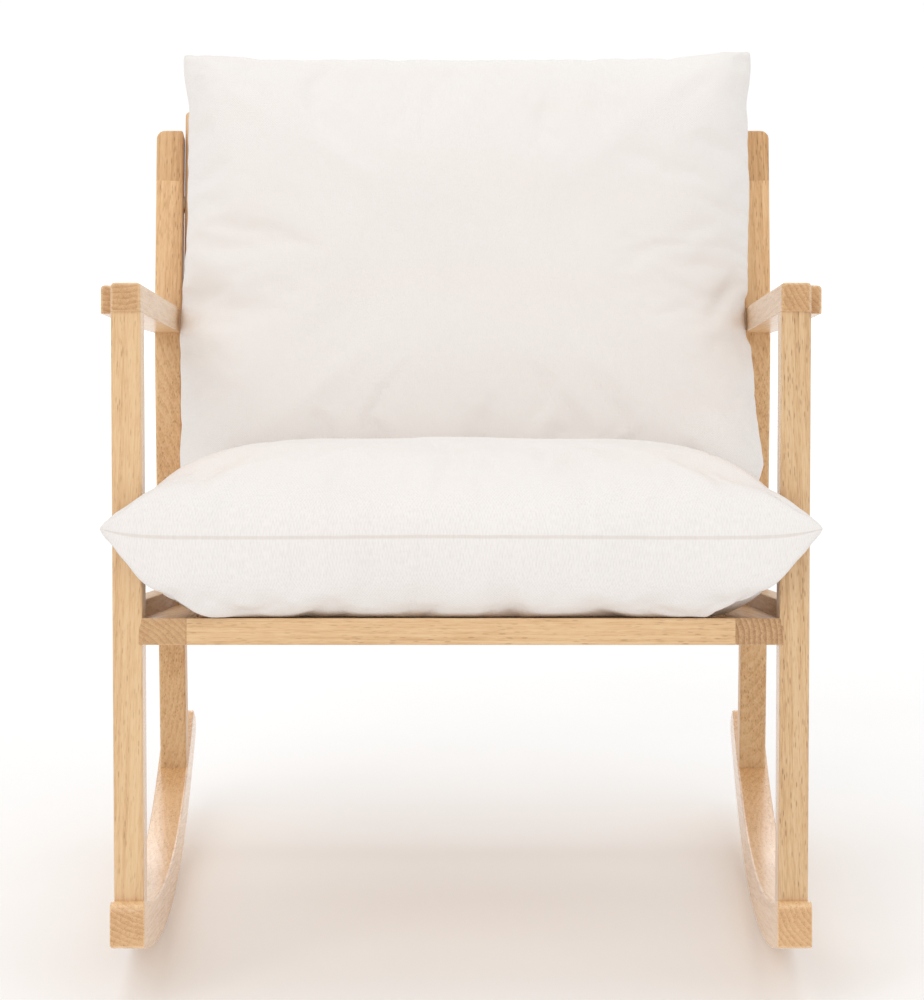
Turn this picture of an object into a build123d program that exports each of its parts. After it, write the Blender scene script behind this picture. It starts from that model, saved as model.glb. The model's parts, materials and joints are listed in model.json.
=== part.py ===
from build123d import *
import os
from math import asin, cos, radians, sin, tan

# A nursery rocking chair: two timber side frames on curved runners, a slatted seat frame and a
# slatted back frame between them, and loose seat and back cushions. All sizes are in millimetres.
#
# The chair is drawn square to its seat rails: x runs across (right is +x, seen from the front),
# y runs rearwards along the rails from the runners' front ends, and z runs up from the runners'
# lowest point. place() then leans the finished pieces back to the pose in which the chair stands.

# ---- driving dimensions -------------------------------------------------------------------------
REST_TILT = 9.7  # how far the rails slope down to the rear when the chair balances on its runners

FRAME_WIDTH = 650.0  # across the outer faces of the legs
LEG_WIDTH = 28.0
OUTER_X = FRAME_WIDTH / 2
INNER_X = OUTER_X - LEG_WIDTH
MID_LEG_X = (OUTER_X + INNER_X) / 2

RUNNER_WIDTH = 32.5
RUNNER_THICK = 44.0
RUNNER_PROUD = 3.0  # outside the legs
RUNNER_LOW_Y = 190.0  # where the front arc is lowest
RUNNER_FRONT_RADIUS = 1500.0
RUNNER_REAR_RADIUS = 1010.0
RUNNER_JOIN_Y = 400.0  # the two arcs are tangent here
RUNNER_TIP_Y = 832.0  # lower rear corner
RUNNER_TOP_END_Y = 775.0  # upper rear corner

FRONT_LEG_DEPTH = 48.0
FRONT_LEG_FOOT_Y = 15.0  # its front face, behind the runner's end
FRONT_LEG_FOOT_Z = 52.0  # where it meets the runner's top
REAR_LEG_FOOT_Z = 136.0  # where its centreline meets the runner's top
LET_IN = 14.0  # how far both are drawn on into the runner before they are cut to fit it
FRONT_LEG_LEAN = 4.5  # its top is further forward
REAR_LEG_DEPTH = 40.0
REAR_LEG_KNEE = (592.0, 596.0)  # y, z of its centreline's bend
REAR_LEG_BEND_RADIUS = 220.0
REAR_LEG_LEAN = 12.0  # lower part, its foot is further back
BACK_LEAN = 9.2  # upper part and back frame, their tops are further back
REAR_LEG_TOP_Z = 818.0

ARM_BOTTOM_Z = 605.0
ARM_THICK = 27.0
ARM_FRONT_Y = -32.0
ARM_STEP_Y = 28.0  # from here back the arm is wider
ARM_OVERHANG = 14.0  # of the wide stretch, outside the leg
ARM_TAPER_MID = (11.5, 300.0)  # overhang and y of a point on its outer curve
ARM_TAPER_END = 1.0  # overhang left at the rear leg
ARM_LET_IN = 5.0  # how far its end is drawn past the rear leg's middle, before it is cut to fit

RAIL_BOTTOM_Z = 295.0
RAIL_HEIGHT = 25.0
RAIL_TOP_Z = RAIL_BOTTOM_Z + RAIL_HEIGHT
RAIL_MID_Z = RAIL_BOTTOM_Z + RAIL_HEIGHT / 2
RAIL_FRONT_Y = -5.5
RAIL_REAR_Y = 668.0
SIDE_RAIL_WIDTH = 44.6
HOUSING_DEPTH = 3.6  # how far a side rail is let into the legs
FRONT_RAIL_DEPTH = 55.0
REAR_RAIL_DEPTH = 40.0
APRON_THICK = 20.0
APRON_RISE = 16.5  # above the seat rails
APRON_Y = (20.0, 652.0)  # inside both legs

SLAT_COUNT = 5
SLAT_WIDTH = 62.0
SLAT_THICK = 11.0
SLAT_END_GAP = 0.5
FIRST_SLAT_Y = 84.0
LAST_SLAT_Y = 536.0
CLEAT_WIDTH = 18.0
CLEAT_HEIGHT = 12.0
CLEAT_ENDS_Y = (62.0, 612.0)

STILE_WIDTH = 27.6
STILE_THICK = 22.0
STILE_SETBACK = 19.0  # behind the rear leg's front face
STILE_TOP_Z = 843.0
STILE_LET_IN = 7.0  # drawn on below the seat rails' tops, before it is cut to fit them
WASHER_THICK = 1.4  # spaces each stile off the leg
BACK_RAIL_THICK = 16.0
BACK_BOTTOM_RAIL = (30.0, 75.0)  # lower and upper edge, along the back from the seat
BACK_TOP_RAIL = (462.0, 517.0)
BACK_SLAT_COUNT = 3
BACK_SLAT_HEIGHT = 44.0
BACK_SLAT_THICK = 12.0
BACK_RAIL_ROUND = 3.0

COVER_THICK = 2.0
PAD_GAP = 0.3
SEAT_PAD_WALL = 14.0
BACK_PAD_WALL = 8.0
CUSHION_CLEARANCE = 0.4

EDGE_ROUND = 2.0
LEG_EDGE_ROUND = 2.5
RAIL_EDGE_ROUND = 1.2
POST_CORNER_ROUND = 9.0  # outer top corner of each back post
STILE_CORNER_ROUND = 5.0
ARM_TOP_ROUND = 4.0
ARM_CORNER_ROUND = 4.8  # of its corners, seen from above
RUNNER_TOE_ROUNDS = (12.0, 5.0)  # upper and lower front corner
RUNNER_TAIL_ROUND = 13.0
DOWEL_RADIUS = 4.0
SMALL_DOWEL_RADIUS = 3.0
DOWEL_CHAMFER = 0.8
BOLT_RADIUS = 3.0
BARREL_NUT_RADIUS = 5.0
SCREW_RADIUS = 1.75
SCREW_HEAD_RADIUS = 3.6
SLAT_SCREW_LENGTH = 20.0
CLEAT_SCREW_LENGTH = 30.0


# ---- small helpers ------------------------------------------------------------------------------
def box(x, y, z):
    """A block between pairs of x, y and z."""
    size = [high - low for low, high in (x, y, z)]
    middle = [(low + high) / 2 for low, high in (x, y, z)]
    return Pos(*middle) * Box(*size)


def edges_along(shape, axis):
    return shape.edges().filter_by(axis)


def side_profile(outline, x):
    """A face drawn in y and z, made solid between two values of x."""
    return Pos(x[0], 0, 0) * extrude(Plane.YZ * outline, x[1] - x[0])


def rod(start, end, radius):
    """A round rod between two points."""
    line = Vector(*end) - Vector(*start)
    return Plane(origin=start, z_dir=line) * Cylinder(
        radius, line.length, align=(Align.CENTER, Align.CENTER, Align.MIN)
    )


def dowel(start, end, radius=DOWEL_RADIUS):
    """A hardwood dowel with chamfered ends."""
    peg = rod(start, end, radius)
    return chamfer(peg.edges().filter_by(GeomType.CIRCLE), DOWEL_CHAMFER)


def flip(shape):
    return mirror(shape, about=Plane.YZ)


def pair(shape):
    """A right-hand piece and its left-hand twin."""
    return {"right": shape, "left": flip(shape)}


def cut_from(piece, *tools):
    for tool in tools:
        piece = piece - tool
    return piece


# ---- runners ------------------------------------------------------------------------------------
def arc_point(centre, radius, angle):
    """The point of a runner arc at an angle from straight down."""
    return (centre[0] + radius * sin(angle), centre[1] - radius * cos(angle))


def runner_arc(centre, radius, first, last):
    angles = (first, (first + last) / 2, last)
    return ThreePointArc(*(arc_point(centre, radius, angle) for angle in angles))


def runner_centres():
    """The centres of the front and the rear arc, and the angle at which they meet."""
    front = (RUNNER_LOW_Y, RUNNER_FRONT_RADIUS)
    join = asin((RUNNER_JOIN_Y - RUNNER_LOW_Y) / RUNNER_FRONT_RADIUS)
    shift = RUNNER_FRONT_RADIUS - RUNNER_REAR_RADIUS
    rear = (front[0] + shift * sin(join), front[1] - shift * cos(join))
    return front, rear, join


def make_runner():
    front, rear, join = runner_centres()
    inner_front = RUNNER_FRONT_RADIUS - RUNNER_THICK
    inner_rear = RUNNER_REAR_RADIUS - RUNNER_THICK
    start_low = asin(-front[0] / RUNNER_FRONT_RADIUS)
    start_high = asin(-front[0] / inner_front)
    end_low = asin((RUNNER_TIP_Y - rear[0]) / RUNNER_REAR_RADIUS)
    end_high = asin((RUNNER_TOP_END_Y - rear[0]) / inner_rear)
    low = runner_arc(front, RUNNER_FRONT_RADIUS, start_low, join)
    low_rear = runner_arc(rear, RUNNER_REAR_RADIUS, join, end_low)
    high_rear = runner_arc(rear, inner_rear, end_high, join)
    high = runner_arc(front, inner_front, join, start_high)
    tip = Line(low_rear @ 1, high_rear @ 0)
    nose = Line(high @ 1, low @ 0)
    outline = make_face(Curve() + [low, low_rear, tip, high_rear, high, nose])
    corners = outline.vertices()
    toe_top = corners.sort_by_distance((high @ 1))[0]
    toe_low = corners.sort_by_distance((low @ 0))[0]
    tail = [corners.sort_by_distance(end)[0] for end in (low_rear @ 1, high_rear @ 0)]
    outline = fillet(toe_top, RUNNER_TOE_ROUNDS[0])
    outline = fillet(outline.vertices().sort_by_distance(Vector(toe_low))[0], RUNNER_TOE_ROUNDS[1])
    for corner in tail:
        nearest = outline.vertices().sort_by_distance(Vector(corner))[0]
        outline = fillet(nearest, RUNNER_TAIL_ROUND)
    outer = OUTER_X + RUNNER_PROUD
    runner = side_profile(outline, (outer - RUNNER_WIDTH, outer))
    sides = runner.faces().filter_by(Axis.X)
    return fillet(sides.edges(), EDGE_ROUND)


# ---- legs and arms ------------------------------------------------------------------------------
def make_front_leg(runner, side_rail):
    """A straight leg from inside the runner's thickness to the arm, cut to fit the runner."""
    slope = tan(radians(FRONT_LEG_LEAN))
    depth = FRONT_LEG_DEPTH / cos(radians(FRONT_LEG_LEAN))

    def front_y(z):
        return FRONT_LEG_FOOT_Y - slope * (z - FRONT_LEG_FOOT_Z)

    inside_z = FRONT_LEG_FOOT_Z - LET_IN
    corners = [
        (front_y(inside_z), inside_z),
        (front_y(inside_z) + depth, inside_z),
        (front_y(ARM_BOTTOM_Z) + depth, ARM_BOTTOM_Z),
        (front_y(ARM_BOTTOM_Z), ARM_BOTTOM_Z),
    ]
    leg = side_profile(make_face(Polyline(*corners, close=True)), (INNER_X, OUTER_X))
    long_edges = [edge for edge in leg.edges() if edge.length > ARM_BOTTOM_Z / 2]
    leg = fillet(long_edges, LEG_EDGE_ROUND)
    return cut_from(leg, runner, side_rail)


def make_rear_leg(runner, side_rail):
    """A bow-shaped leg and back post in one piece."""
    knee_y, knee_z = REAR_LEG_KNEE
    foot_z = REAR_LEG_FOOT_Z - LET_IN
    foot_y = knee_y + (knee_z - foot_z) * tan(radians(REAR_LEG_LEAN))
    top_y = knee_y + (REAR_LEG_TOP_Z - knee_z) * tan(radians(BACK_LEAN))
    route = Plane.YZ * FilletPolyline(
        (foot_y, foot_z), REAR_LEG_KNEE, (top_y, REAR_LEG_TOP_Z), radius=REAR_LEG_BEND_RADIUS
    )
    route = Pos(MID_LEG_X, 0, 0) * route
    section = Plane(origin=route @ 0, x_dir=(1, 0, 0), z_dir=route % 0) * Rectangle(
        LEG_WIDTH, REAR_LEG_DEPTH
    )
    leg = sweep(section, path=route)
    crest = leg.faces().sort_by(Axis.Z)[-1]
    leg = fillet(crest.edges().sort_by(Axis.X)[-1], POST_CORNER_ROUND)
    foot = leg.faces().sort_by(Axis.Z)[0]
    rest = [edge for edge in leg.edges() if all(not edge.is_same(end) for end in foot.edges())]
    leg = fillet(rest, LEG_EDGE_ROUND)
    return cut_from(leg, runner, side_rail)


def make_arm(rear_leg):
    """An arm as wide as the leg at its front, then stepping out and tapering in to the rear."""
    back_y = REAR_LEG_KNEE[0] + ARM_LET_IN
    wide = OUTER_X + ARM_OVERHANG
    end_x = OUTER_X + ARM_TAPER_END
    overhang, taper_y = ARM_TAPER_MID
    outline = [
        Line((INNER_X, back_y), (INNER_X, ARM_FRONT_Y)),
        Line((INNER_X, ARM_FRONT_Y), (OUTER_X, ARM_FRONT_Y)),
        Line((OUTER_X, ARM_FRONT_Y), (OUTER_X, ARM_STEP_Y)),
        Line((OUTER_X, ARM_STEP_Y), (wide, ARM_STEP_Y)),
        ThreePointArc((wide, ARM_STEP_Y), (OUTER_X + overhang, taper_y), (end_x, back_y)),
        Line((end_x, back_y), (INNER_X, back_y)),
    ]
    plan = make_face(Curve() + outline)
    steps = [(wide, ARM_STEP_Y), (OUTER_X, ARM_STEP_Y)]
    for corner in [*steps, (OUTER_X, ARM_FRONT_Y), (INNER_X, ARM_FRONT_Y)]:
        plan = fillet(plan.vertices().sort_by_distance(corner)[0], ARM_CORNER_ROUND)
    arm = Pos(0, 0, ARM_BOTTOM_Z) * extrude(plan, ARM_THICK)
    for end, radius in ((-1, ARM_TOP_ROUND), (0, RAIL_EDGE_ROUND)):
        face = arm.faces().sort_by(Axis.Z)[end]
        arm = fillet([edge for edge in face.edges() if edge.center().Y < back_y - 1], radius)
    return cut_from(arm, rear_leg)


def make_apron(front_leg, rear_leg, side_rail):
    """A board outside each side rail, cut off where it meets the legs."""
    apron = box((INNER_X, INNER_X + APRON_THICK), APRON_Y, (RAIL_BOTTOM_Z, RAIL_TOP_Z + APRON_RISE))
    apron = fillet(edges_along(apron, Axis.Y), RAIL_EDGE_ROUND)
    apron = cut_from(apron, side_rail, front_leg, rear_leg)
    return apron.solids().sort_by(SortBy.VOLUME)[-1]


# ---- seat frame ---------------------------------------------------------------------------------
SIDE_RAIL_X = (INNER_X + HOUSING_DEPTH - SIDE_RAIL_WIDTH, INNER_X + HOUSING_DEPTH)
RAIL_Z = (RAIL_BOTTOM_Z, RAIL_TOP_Z)


def make_side_rail():
    rail = box(SIDE_RAIL_X, (RAIL_FRONT_Y, RAIL_REAR_Y), RAIL_Z)
    return fillet(rail.edges(), RAIL_EDGE_ROUND)


def make_cross_rail(front_y, depth):
    """A rail between the side rails."""
    span = SIDE_RAIL_X[0]
    rail = box((-span, span), (front_y, front_y + depth), RAIL_Z)
    return fillet(edges_along(rail, Axis.X), RAIL_EDGE_ROUND)


def make_cleat():
    """A strip on the side rail's inner face that carries the slats."""
    inner = SIDE_RAIL_X[0]
    return box(
        (inner - CLEAT_WIDTH, inner), CLEAT_ENDS_Y, (RAIL_BOTTOM_Z, RAIL_BOTTOM_Z + CLEAT_HEIGHT)
    )


def slat_centres():
    step = (LAST_SLAT_Y - FIRST_SLAT_Y) / (SLAT_COUNT - 1)
    return [FIRST_SLAT_Y + step * index for index in range(SLAT_COUNT)]


def make_slat(centre_y):
    span = SIDE_RAIL_X[0] - SLAT_END_GAP
    low = RAIL_BOTTOM_Z + CLEAT_HEIGHT
    slat = box(
        (-span, span),
        (centre_y - SLAT_WIDTH / 2, centre_y + SLAT_WIDTH / 2),
        (low, low + SLAT_THICK),
    )
    return fillet(edges_along(slat, Axis.X), EDGE_ROUND)


# ---- back frame, drawn upright with y = 0 on the stiles' front faces and z = 0 on the seat -------
STILE_X = (INNER_X - WASHER_THICK - STILE_WIDTH, INNER_X - WASHER_THICK)


def back_foot():
    """y of the stiles' front faces at the top of the seat rails."""
    knee_y, knee_z = REAR_LEG_KNEE
    leg_front = knee_y - REAR_LEG_DEPTH / 2 / cos(radians(BACK_LEAN))
    return leg_front + STILE_SETBACK - (knee_z - RAIL_TOP_Z) * tan(radians(BACK_LEAN))


def lean_back(shape):
    """From the back frame's upright drawing to its place in the chair."""
    return Pos(0, back_foot(), RAIL_TOP_Z) * Rot(-BACK_LEAN, 0, 0) * shape


def make_stile(side_rail):
    length = (STILE_TOP_Z - RAIL_TOP_Z) / cos(radians(BACK_LEAN))
    stile = box(STILE_X, (0, STILE_THICK), (-STILE_LET_IN, length))
    crest = stile.faces().sort_by(Axis.Z)[-1]
    stile = fillet(crest.edges().sort_by(Axis.X)[-1], STILE_CORNER_ROUND)
    foot = stile.faces().sort_by(Axis.Z)[0]
    rest = [edge for edge in stile.edges() if all(not edge.is_same(end) for end in foot.edges())]
    stile = fillet(rest, EDGE_ROUND)
    return cut_from(lean_back(stile), side_rail)


def back_slat_spans():
    """Lower and upper edge of each back slat, spaced evenly between the back's rails."""
    low, high = BACK_BOTTOM_RAIL[1], BACK_TOP_RAIL[0]
    gap = (high - low - BACK_SLAT_COUNT * BACK_SLAT_HEIGHT) / (BACK_SLAT_COUNT + 1)
    starts = [low + gap + index * (gap + BACK_SLAT_HEIGHT) for index in range(BACK_SLAT_COUNT)]
    return [(start, start + BACK_SLAT_HEIGHT) for start in starts]


def make_back_rail(span_z, thick):
    middle = STILE_THICK / 2
    across = STILE_X[0]
    rail = box((-across, across), (middle - thick / 2, middle + thick / 2), span_z)
    return lean_back(fillet(edges_along(rail, Axis.X), BACK_RAIL_ROUND))


def back_bolt_heights():
    """In the open gaps either side of the top slat, where the rear legs lie beside the stiles."""
    spans = back_slat_spans()
    between = (spans[-2][1] + spans[-1][0]) / 2
    above = (spans[-1][1] + BACK_TOP_RAIL[0]) / 2
    return between, above


# ---- fasteners ----------------------------------------------------------------------------------
def hex_bolt(radius, length, head_radius, head_height):
    """A socket-head bolt along +z, with the underside of its head at the origin."""
    head = Pos(0, 0, -head_height) * Cylinder(
        head_radius, head_height, align=(Align.CENTER, Align.CENTER, Align.MIN)
    )
    head = fillet(head.edges().sort_by(Axis.Z)[0], head_height * 0.35)
    socket_depth = head_height * 0.6
    socket = Pos(0, 0, -head_height) * extrude(RegularPolygon(head_radius * 0.5, 6), socket_depth)
    shank = Cylinder(radius, length, align=(Align.CENTER, Align.CENTER, Align.MIN))
    shank = chamfer(shank.edges().sort_by(Axis.Z)[-1], radius * 0.25)
    return head - socket + shank


def wood_screw(radius, length, head_radius):
    """A countersunk screw along -z, with its head's top at the origin."""
    hanging = (Align.CENTER, Align.CENTER, Align.MAX)
    head = Cone(radius, head_radius, head_radius, align=hanging)
    blade = (head_radius * 1.1, head_radius * 0.22)
    depth = head_radius / 3
    slot = Box(blade[0], blade[1], depth) + Box(blade[1], blade[0], depth)
    point_length = 2.3 * radius
    straight = length - head_radius - point_length
    shank = Pos(0, 0, -head_radius) * Cylinder(radius, straight, align=hanging)
    tip = Cone(radius / 6, radius, point_length, align=hanging)
    return head + shank + Pos(0, 0, -head_radius - straight) * tip - slot


def tube_insert(outer, inner, length):
    """A threaded insert along +z, shown with a plain bore."""
    insert = Cylinder(outer, length, align=(Align.CENTER, Align.CENTER, Align.MIN))
    return insert - Cylinder(inner, length, align=(Align.CENTER, Align.CENTER, Align.MIN))


CROSS_BOLT_LENGTH = 108.0
CROSS_BOLT_HEAD = (5.0, 6.0)  # radius, height
BACK_BOLT_HEAD = (5.5, 3.4)
FRONT_BOLT_Y = 20.0
REAR_BOLT_Y = 645.0
BACK_BOLT_LENGTH = 42.0
INSERT_LENGTH = 14.0
INSERT_RADIUS = 4.5
WASHER_RADIUS = 9.0
BARREL_NUT_FROM_END = 6.0  # of its bolt
BARREL_NUT_GAP = 2.0  # from either end to the rail's faces
RUNNER_DOWEL_REACH = 22.0  # either side of the runner's top face
FRONT_FOOT_DOWELS_Y = (29.0, 49.0)
REAR_FOOT_DOWELS_Y = (684.0, 702.0)
RAIL_TO_LEG_DOWELS_Y = (34.0, 658.5)
APRON_TO_LEG_DOWELS_Y = (42.5, 630.5)
CROSS_RAIL_DOWELS_Y = (7.0, 632.0)


def make_cross_bolts():
    """Through leg and side rail into each cross rail, with heads sunk in the legs."""
    bolt = hex_bolt(BOLT_RADIUS, CROSS_BOLT_LENGTH, *CROSS_BOLT_HEAD)
    bolts = []
    for y in (FRONT_BOLT_Y, REAR_BOLT_Y):
        right = Pos(OUTER_X - CROSS_BOLT_HEAD[1], y, RAIL_MID_Z) * Rot(0, -90, 0) * bolt
        bolts += [right, flip(right)]
    return bolts


def make_barrel_nuts():
    """Steel cross dowels that stand in the cross rails and hold the bolts' ends."""
    nuts = []
    x = OUTER_X - CROSS_BOLT_HEAD[1] - CROSS_BOLT_LENGTH + BARREL_NUT_FROM_END
    low, high = RAIL_BOTTOM_Z + BARREL_NUT_GAP, RAIL_TOP_Z - BARREL_NUT_GAP
    through = BARREL_NUT_RADIUS + 1
    for y in (FRONT_BOLT_Y, REAR_BOLT_Y):
        nut = rod((x, y, low), (x, y, high), BARREL_NUT_RADIUS)
        nut = nut - rod((x - through, y, RAIL_MID_Z), (x + through, y, RAIL_MID_Z), BOLT_RADIUS)
        nuts += [nut, flip(nut)]
    return nuts


def place_on_stile(piece, along_x, height):
    """Turns a +z fastener to point outwards, at a height on a stile's centreline."""
    return lean_back(Pos(along_x, STILE_THICK / 2, height) * Rot(0, 90, 0) * piece)


def make_back_bolts():
    bolt = hex_bolt(BOLT_RADIUS, BACK_BOLT_LENGTH, *BACK_BOLT_HEAD)
    rights = [place_on_stile(bolt, STILE_X[0], height) for height in back_bolt_heights()]
    return rights + [flip(right) for right in rights]


def make_spacer_washers():
    washer = tube_insert(WASHER_RADIUS, BOLT_RADIUS, WASHER_THICK)
    rights = [place_on_stile(washer, STILE_X[1], height) for height in back_bolt_heights()]
    return rights + [flip(right) for right in rights]


def make_inserts():
    insert = tube_insert(INSERT_RADIUS, BOLT_RADIUS, INSERT_LENGTH)
    rights = [place_on_stile(insert, INNER_X, height) for height in back_bolt_heights()]
    return rights + [flip(right) for right in rights]


def make_slat_screws():
    screw = wood_screw(SCREW_RADIUS, SLAT_SCREW_LENGTH, SCREW_HEAD_RADIUS)
    x = SIDE_RAIL_X[0] - CLEAT_WIDTH / 2
    top = RAIL_BOTTOM_Z + CLEAT_HEIGHT + SLAT_THICK
    return [Pos(side * x, y, top) * screw for y in slat_centres() for side in (-1, 1)]


def make_cleat_screws():
    screw = wood_screw(SCREW_RADIUS, CLEAT_SCREW_LENGTH, SCREW_HEAD_RADIUS)
    x = SIDE_RAIL_X[0] - CLEAT_WIDTH
    ys = [(low + high) / 2 for low, high in zip(slat_centres(), slat_centres()[1:])][::3]
    z = RAIL_BOTTOM_Z + CLEAT_HEIGHT / 2
    rights = [Pos(x, y, z) * Rot(0, -90, 0) * screw for y in ys]
    return rights + [flip(right) for right in rights]


def make_runner_dowels():
    """Two in each leg's foot, square to the runner's top face."""
    front, rear, _ = runner_centres()
    joints = [(front, RUNNER_FRONT_RADIUS, y) for y in FRONT_FOOT_DOWELS_Y]
    joints += [(rear, RUNNER_REAR_RADIUS, y) for y in REAR_FOOT_DOWELS_Y]
    pegs = []
    for centre, radius, y in joints:
        angle = asin((y - centre[0]) / (radius - RUNNER_THICK))
        low = arc_point(centre, radius - RUNNER_THICK + RUNNER_DOWEL_REACH, angle)
        high = arc_point(centre, radius - RUNNER_THICK - RUNNER_DOWEL_REACH, angle)
        peg = dowel((MID_LEG_X, *low), (MID_LEG_X, *high))
        pegs += [peg, flip(peg)]
    return pegs


def dowel_across(x, y, z, before, after, radius=DOWEL_RADIUS):
    """A dowel along x through the joint at a point."""
    return dowel((x - before, y, z), (x + after, y, z), radius)


def make_arm_dowels():
    """One up from each front leg's top, and one from each arm's end into the rear leg."""
    leg_y = ARM_FRONT_Y + FRONT_LEG_DEPTH / 2 + 4
    up = dowel((MID_LEG_X, leg_y, ARM_BOTTOM_Z - 20), (MID_LEG_X, leg_y, ARM_BOTTOM_Z + 18))
    z = ARM_BOTTOM_Z + ARM_THICK / 2
    back = REAR_LEG_KNEE[0] - REAR_LEG_DEPTH / 2
    along = dowel((MID_LEG_X, back - 16, z), (MID_LEG_X, back + 22, z))
    return [up, flip(up), along, flip(along)]


def make_side_frame_dowels():
    """Side rail into each leg, and apron into each leg."""
    rights = [dowel_across(SIDE_RAIL_X[1], y, RAIL_MID_Z, 16, 14) for y in RAIL_TO_LEG_DOWELS_Y]
    x = SIDE_RAIL_X[1] + DOWEL_RADIUS + 3.5
    z = RAIL_TOP_Z + 4.0
    rights += [dowel((x, y - 15, z), (x, y + 15, z)) for y in APRON_TO_LEG_DOWELS_Y]
    return rights + [flip(right) for right in rights]


def make_cross_rail_dowels():
    """One beside each cross bolt, between side rail and cross rail."""
    rights = [dowel_across(SIDE_RAIL_X[0], y, RAIL_MID_Z, 18, 18) for y in CROSS_RAIL_DOWELS_Y]
    return rights + [flip(right) for right in rights]


def make_back_dowels():
    """Two in each end of the back's rails, and one in each end of its slats."""
    heights = []
    for low, high in (BACK_BOTTOM_RAIL, BACK_TOP_RAIL):
        heights += [low + (high - low) * share for share in (0.28, 0.72)]
    heights += [(low + high) / 2 for low, high in back_slat_spans()]
    middle = STILE_THICK / 2
    rights = [
        lean_back(dowel_across(STILE_X[0], middle, z, 14, 14, SMALL_DOWEL_RADIUS))
        for z in heights
    ]
    return rights + [flip(right) for right in rights]


def make_stile_foot_dowels():
    """One up into each stile's foot from the side rail."""
    x = sum(STILE_X) / 2
    right = lean_back(dowel((x, STILE_THICK / 2, -16.0), (x, STILE_THICK / 2, 18.0)))
    return [right, flip(right)]


# ---- cushions -----------------------------------------------------------------------------------
def pillow(levels, inset):
    """A closed pillow through three outlines, each given with its height, shrunk by an inset."""
    low, high = levels[0][0] + inset, levels[-1][0] - inset
    heights = (low, levels[1][0], high)
    outlines = []
    for height, (_, corners) in zip(heights, levels):
        face = make_face(Polyline(*corners, close=True))
        if inset:
            face = offset(face, amount=-inset, kind=Kind.INTERSECTION)
        outlines.append(Pos(0, 0, height) * face)
    return loft(outlines, ruled=True)


def cushion(levels, wall):
    """A cover and, inside it, a pad whose loose filling is left out as a sealed hollow."""
    cover = pillow(levels, 0) - pillow(levels, COVER_THICK)
    inside = COVER_THICK + PAD_GAP
    pad = pillow(levels, inside) - pillow(levels, inside + wall)
    return cover, pad


def symmetric(points):
    """A closed outline from its right half, front to rear."""
    return [*points, *[(-x, y) for x, y in reversed(points)]]


SEAT_SEAM_Z = 402.0
SEAT_CROWN_Z = 484.0
SEAT_REAR_Y = 535.0
SEAT_TIP = (334.0, -52.0)  # right front corner, x and y
SEAT_SIDE_GAP = 5.0  # to each leg
SEAT_UNDERSIDE = [(238, 6), (262, 40), (250, 480)]  # right half of each outline, front to rear
SEAT_CROWN = [(175, 95), (225, 130), (215, 395)]


def make_seat_cushion():
    """Its front corners stand out in front of the legs; behind them it fits between the legs."""
    between = INNER_X - SEAT_SIDE_GAP
    behind_tip = (between, SEAT_TIP[1] / 2)
    levels = [
        (RAIL_TOP_Z + CUSHION_CLEARANCE, symmetric(SEAT_UNDERSIDE)),
        (SEAT_SEAM_Z, symmetric([SEAT_TIP, behind_tip, (between, SEAT_REAR_Y)])),
        (SEAT_CROWN_Z, symmetric(SEAT_CROWN)),
    ]
    return cushion(levels, SEAT_PAD_WALL)


BACK_CUSHION_THICK = 128.0
BACK_CUSHION_FOOT = 111.0  # above the seat rails, along the back
BACK_CUSHION_TOP = 583.0
BACK_CUSHION_HALF = INNER_X - 1.0
BACK_CUSHION_REAR = (225, 62)  # half width of its flat rear, and how far that is in from the seam
BACK_CUSHION_FRONT = (215, 72)


def make_back_cushion():
    """Drawn lying on its back, then stood against the back frame."""
    outlines = (BACK_CUSHION_REAR, (BACK_CUSHION_HALF, 0), BACK_CUSHION_FRONT)
    heights = (0.0, BACK_CUSHION_THICK / 2, BACK_CUSHION_THICK)
    levels = []
    for height, (half, inset) in zip(heights, outlines):
        ends = (BACK_CUSHION_FOOT + inset, BACK_CUSHION_TOP - inset)
        levels.append((height, symmetric([(half, end) for end in ends])))
    stand = Pos(0, -CUSHION_CLEARANCE, 0) * Rot(90, 0, 0)
    return [lean_back(stand * solid) for solid in cushion(levels, BACK_PAD_WALL)]


ZIP_LENGTH = 420.0
ZIP_TAPE = (2.4, 2.5)  # thickness, half width
ZIP_SLIDER = (8.0, 2.6, 3.0)  # length, height, half width
ZIP_PULL = (4.0, 1.2, 17.0)  # width, thickness, length
ZIP_GAP = 0.2  # to the seam


def make_zip():
    """A zip along x: its tape, and a slider with a flat pull at one end."""
    thick, half = ZIP_TAPE
    tape = box((-ZIP_LENGTH / 2, ZIP_LENGTH / 2), (0, thick), (-half, half))
    length, height, half = ZIP_SLIDER
    x = ZIP_LENGTH / 2 - 1 - length
    top = thick + height
    slider = box((x, x + length), (thick, top), (-half, half))
    width, pull_thick, pull_length = ZIP_PULL
    x += (length - width) / 2
    pull = box((x, x + width), (top, top + pull_thick), (1 - pull_length, 1))
    return tape + fillet(slider.edges(), 0.6) + pull


def make_zips():
    """One along the seat cushion's rear seam, and one under the back cushion."""
    seat = Pos(0, SEAT_REAR_Y + ZIP_GAP, SEAT_SEAM_Z) * make_zip()
    middle = -CUSHION_CLEARANCE - BACK_CUSHION_THICK / 2
    back = Pos(0, middle, BACK_CUSHION_FOOT - ZIP_GAP) * Rot(-90, 0, 0) * make_zip()
    return seat, lean_back(back)


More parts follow.
